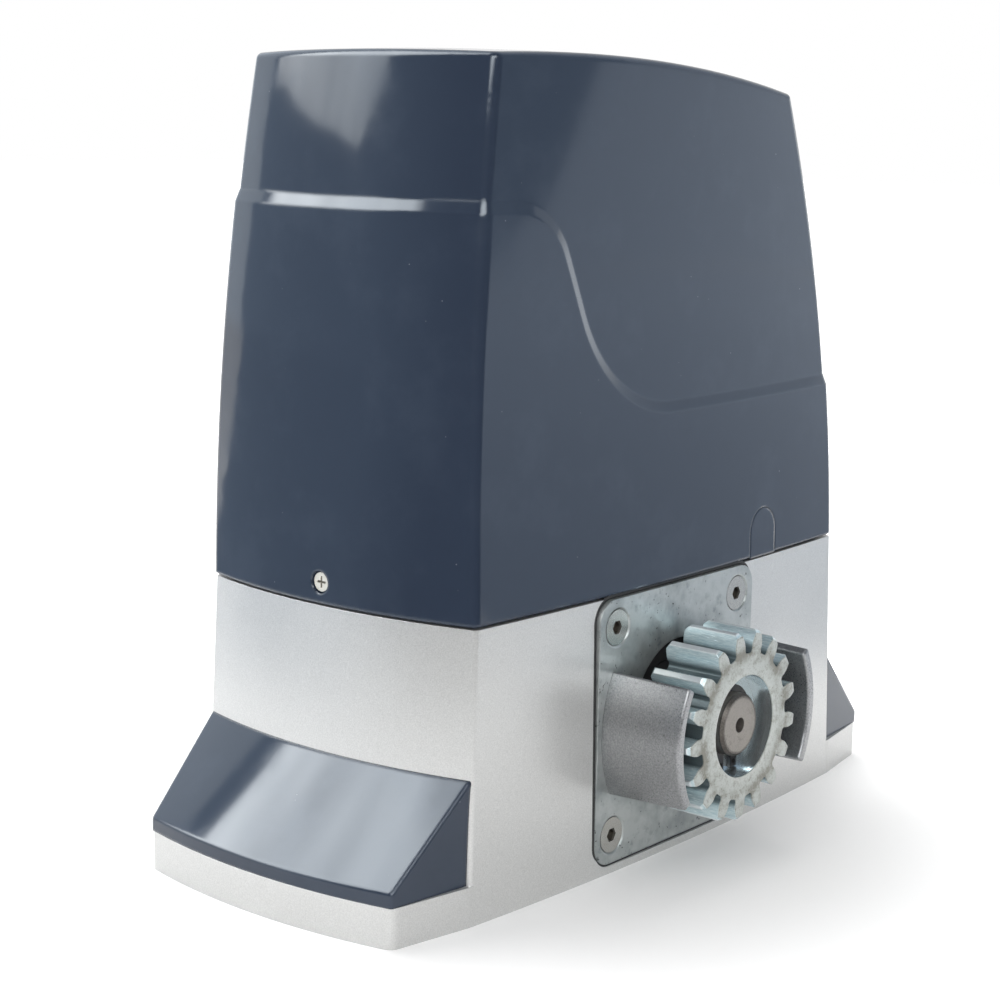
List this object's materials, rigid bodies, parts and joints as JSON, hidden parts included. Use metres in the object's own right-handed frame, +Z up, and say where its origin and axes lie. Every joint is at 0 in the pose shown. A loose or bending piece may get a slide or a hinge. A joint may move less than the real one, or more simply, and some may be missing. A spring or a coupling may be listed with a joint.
{
  "type": "sliding gate motor",
  "caption": "Floor-mounted electric drive for a sliding gate: cast base with worm gearbox, upright motor under a moulded cover, and a toothed pinion beside guards.",
  "frame": {"origin": "middle of the four anchor slots, on the underside of the base", "axes": "+X along the base towards the wiring side, away from the motor; +Y away from the gate, opposite the pinion; +Z up"},
  "size_m": [0.3338, 0.1799, 0.3124],
  "materials": {
    "base_paint": "silver hammered enamel on cast aluminium",
    "cover_plastic": "glossy blue-grey moulded plastic",
    "zinc_plate": "zinc-plated steel, slightly stained",
    "zinc_gear": "bright zinc-plated steel with a blue tint",
    "screw_steel": "nickel-plated steel",
    "machined_steel": "turned steel",
    "black_steel": "black phosphated spring steel",
    "black_iron": "black painted iron",
    "bearing_steel": "polished bearing steel",
    "black_rubber": "black nitrile rubber",
    "bronze": "gear bronze",
    "lock_brass": "nickel-plated brass",
    "laminations": "stacked electrical steel",
    "copper": "enamelled copper wire",
    "coil_tape": "yellow coil tape",
    "bare_aluminium": "bare cast aluminium",
    "circuit_board": "green circuit board",
    "black_plastic": "black moulded plastic",
    "relay_blue": "blue relay case",
    "terminal_green": "green terminal block",
    "capacitor_white": "white capacitor can"
  },
  "bodies": {
    "frame": {"base_housing": "base_paint", "bearing_carrier": "black_iron", "board_components": "black_plastic", "board_posts": "black_plastic", "board_tray": "black_plastic", "cable_grommet": "black_rubber", "capacitor_clamp": "machined_steel", "control_board": "circuit_board", "cover": "cover_plastic", "cover_gasket": "black_rubber", "cover_screws": "screw_steel", "front_shaft_bearing": "bearing_steel", "gearbox_plate": "zinc_plate", "left_foot_cover": "cover_plastic", "right_foot_cover": "cover_plastic", "left_gear_guard": "base_paint", "right_gear_guard": "base_paint", "lever_pin": "machined_steel", "limit_sensor": "black_plastic", "limit_sensor_bracket": "machined_steel", "limit_slot_plug": "cover_plastic", "lower_end_bell": "bare_aluminium", "upper_end_bell": "bare_aluminium", "motor_lower_bearing": "bearing_steel", "motor_upper_bearing": "bearing_steel", "motor_tie_bolts": "machined_steel", "oil_plug": "machined_steel", "plate_screws": "screw_steel", "rear_shaft_bearing": "bearing_steel", "relays": "relay_blue", "run_capacitor": "capacitor_white", "shaft_seal": "black_rubber", "stator_core": "laminations", "stator_windings": "copper", "terminal_blocks": "terminal_green", "transformer_coil": "coil_tape", "transformer_core": "laminations", "worm_lower_bearing": "bearing_steel", "worm_shaft_seal": "black_rubber"},
    "output": {"output_shaft": "machined_steel", "drive_pinion": "zinc_gear", "pinion_key": "machined_steel", "pinion_circlip": "black_steel", "pinion_spacer": "machined_steel", "wheel_spacers": "machined_steel", "wheel_hub": "black_iron", "wheel_key": "machined_steel", "worm_wheel": "bronze"},
    "rotor": {"rotor_shaft": "machined_steel", "rotor_core": "laminations", "worm_screw": "machined_steel"},
    "lever": {"release_lever": "base_paint"},
    "lock": {"lock_cylinder": "lock_brass", "lock_tongue": "machined_steel"},
    "clutch": {"clutch_pin": "machined_steel"}
  },
  "joints": [
    {"name": "output_spin", "type": "hinge", "parent": "frame", "child": "output", "pos_m": [-0.0025, 0, 0.0562], "axis": [0, 1, 0], "continuous": true},
    {"name": "rotor_spin", "type": "hinge", "parent": "frame", "child": "rotor", "pos_m": [-0.0525, 0, 0.0562], "axis": [0, 0, 1], "continuous": true},
    {"name": "lever_open", "type": "hinge", "parent": "frame", "child": "lever", "pos_m": [0.03, 0.0655, 0.0562], "axis": [0, 0, -1], "range_deg": [0, 90]},
    {"name": "lock_turn", "type": "hinge", "parent": "lever", "child": "lock", "pos_m": [-0.0315, 0.0655, 0.0562], "axis": [0, -1, 0], "range_deg": [0, 90]},
    {"name": "clutch_slide", "type": "slide", "parent": "frame", "child": "clutch", "axis": [0, 1, 0], "range_m": [0, 0.005]}
  ],
  "couplings": [
    {"joint": "rotor_spin", "follows": "output_spin", "ratio": -30},
    {"joint": "clutch_slide", "follows": "lever_open", "m_per_rad": 0.003182}
  ]
}
